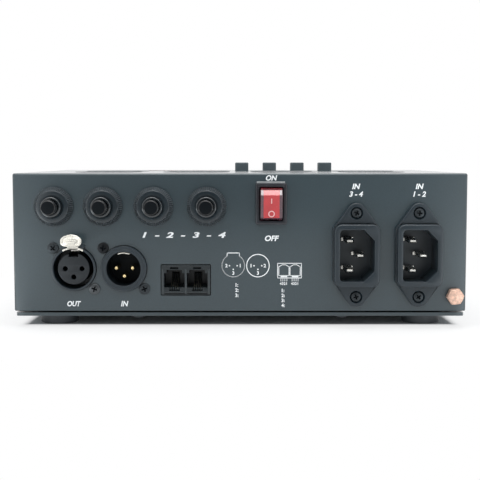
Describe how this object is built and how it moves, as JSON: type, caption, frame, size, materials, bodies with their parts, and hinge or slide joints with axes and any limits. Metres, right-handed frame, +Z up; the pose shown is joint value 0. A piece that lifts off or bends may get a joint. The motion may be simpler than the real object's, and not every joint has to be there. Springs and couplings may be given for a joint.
{
  "type": "dimmer pack",
  "caption": "Steel-cased stage lighting dimmer pack with a panel of breakers, data sockets, link jack, rocker switch and mains inlets, and outlets and menu keys on top.",
  "frame": {"origin": "centre of the underside of the bounding box, at the level of the soles of the feet", "axes": "+Z up, -Y out of the connector panel, +X to the right as the connector panel is faced"},
  "size_m": [0.2164, 0.1676, 0.0786],
  "materials": {
    "powder_coat": "dark blue-grey fine satin powder coat",
    "rubber": "matt black rubber",
    "black_plastic": "satin black moulding",
    "button_plastic": "smooth black moulding",
    "grey_plastic": "dark grey moulding",
    "red_rocker": "translucent red moulding",
    "bright_nickel": "bright nickel plate",
    "gold_contact": "gold plated contact",
    "copper_bolt": "coppered screw",
    "steel": "bare steel",
    "display_window": "dark red clear window",
    "circuit_board": "solder resist",
    "bare_aluminium": "extruded aluminium",
    "copper_winding": "enamelled copper wire"
  },
  "bodies": {
    "chassis": {"top_cover": "powder_coat", "base_plate": "powder_coat", "foot_1": "rubber", "foot_2": "rubber", "foot_3": "rubber", "foot_4": "rubber", "breaker_1_body": "black_plastic", "breaker_1_nut": "black_plastic", "breaker_2_body": "black_plastic", "breaker_2_nut": "black_plastic", "breaker_3_body": "black_plastic", "breaker_3_nut": "black_plastic", "breaker_4_body": "black_plastic", "breaker_4_nut": "black_plastic", "data_out_shell": "black_plastic", "data_in_shell": "black_plastic", "switch_body": "black_plastic", "inlet_1_housing": "black_plastic", "inlet_2_housing": "black_plastic", "outlet_1": "black_plastic", "outlet_2": "black_plastic", "outlet_3": "black_plastic", "outlet_4": "black_plastic", "data_out_insert": "grey_plastic", "link_jack_housing": "grey_plastic", "display_digits": "grey_plastic", "data_in_spring": "bright_nickel", "inlet_1_line_pin": "bright_nickel", "inlet_1_neutral_pin": "bright_nickel", "inlet_1_earth_pin": "bright_nickel", "inlet_2_line_pin": "bright_nickel", "inlet_2_neutral_pin": "bright_nickel", "inlet_2_earth_pin": "bright_nickel", "data_in_pin_1": "gold_contact", "data_in_pin_2": "gold_contact", "data_in_pin_3": "gold_contact", "link_jack_contacts_1": "gold_contact", "link_jack_contacts_2": "gold_contact", "earth_bolt": "copper_bolt", "earth_nut": "steel", "transformer": "steel", "display_window": "display_window", "main_board": "circuit_board", "control_board": "circuit_board", "data_board": "circuit_board", "heatsink": "bare_aluminium", "choke_1": "copper_winding", "choke_2": "copper_winding", "choke_3": "copper_winding", "choke_4": "copper_winding"},
    "reset_button_1": {"breaker_1_button": "button_plastic"},
    "reset_button_2": {"breaker_2_button": "button_plastic"},
    "reset_button_3": {"breaker_3_button": "button_plastic"},
    "reset_button_4": {"breaker_4_button": "button_plastic"},
    "menu_key_1": {"key_1": "grey_plastic"},
    "menu_key_2": {"key_2": "grey_plastic"},
    "menu_key_3": {"key_3": "grey_plastic"},
    "menu_key_4": {"key_4": "grey_plastic"},
    "rocker": {"switch_rocker": "red_rocker"},
    "latch": {"data_out_latch": "bright_nickel"}
  },
  "joints": [
    {"name": "rocker_tip", "type": "hinge", "parent": "chassis", "child": "rocker", "pos_m": [0.01487, -0.06875, 0.05928], "axis": [-1, 0, 0], "range_deg": [0, 24]},
    {"name": "latch_press", "type": "hinge", "parent": "chassis", "child": "latch", "pos_m": [-0.0794, -0.07025, 0.03663], "axis": [-1, 0, 0], "range_deg": [0, 8], "stiffness_Nm_per_rad": 0.05},
    {"name": "reset_button_1_slide", "type": "slide", "parent": "chassis", "child": "reset_button_1", "axis": [0, -1, 0], "range_m": [0, 0.0035]},
    {"name": "reset_button_2_slide", "type": "slide", "parent": "chassis", "child": "reset_button_2", "axis": [0, -1, 0], "range_m": [0, 0.0035]},
    {"name": "reset_button_3_slide", "type": "slide", "parent": "chassis", "child": "reset_button_3", "axis": [0, -1, 0], "range_m": [0, 0.0035]},
    {"name": "reset_button_4_slide", "type": "slide", "parent": "chassis", "child": "reset_button_4", "axis": [0, -1, 0], "range_m": [0, 0.0035]},
    {"name": "menu_key_1_press", "type": "slide", "parent": "chassis", "child": "menu_key_1", "axis": [0, 0, -1], "range_m": [0, 0.0005], "stiffness_N_per_m": 1500},
    {"name": "menu_key_2_press", "type": "slide", "parent": "chassis", "child": "menu_key_2", "axis": [0, 0, -1], "range_m": [0, 0.0005], "stiffness_N_per_m": 1500},
    {"name": "menu_key_3_press", "type": "slide", "parent": "chassis", "child": "menu_key_3", "axis": [0, 0, -1], "range_m": [0, 0.0005], "stiffness_N_per_m": 1500},
    {"name": "menu_key_4_press", "type": "slide", "parent": "chassis", "child": "menu_key_4", "axis": [0, 0, -1], "range_m": [0, 0.0005], "stiffness_N_per_m": 1500}
  ]
}
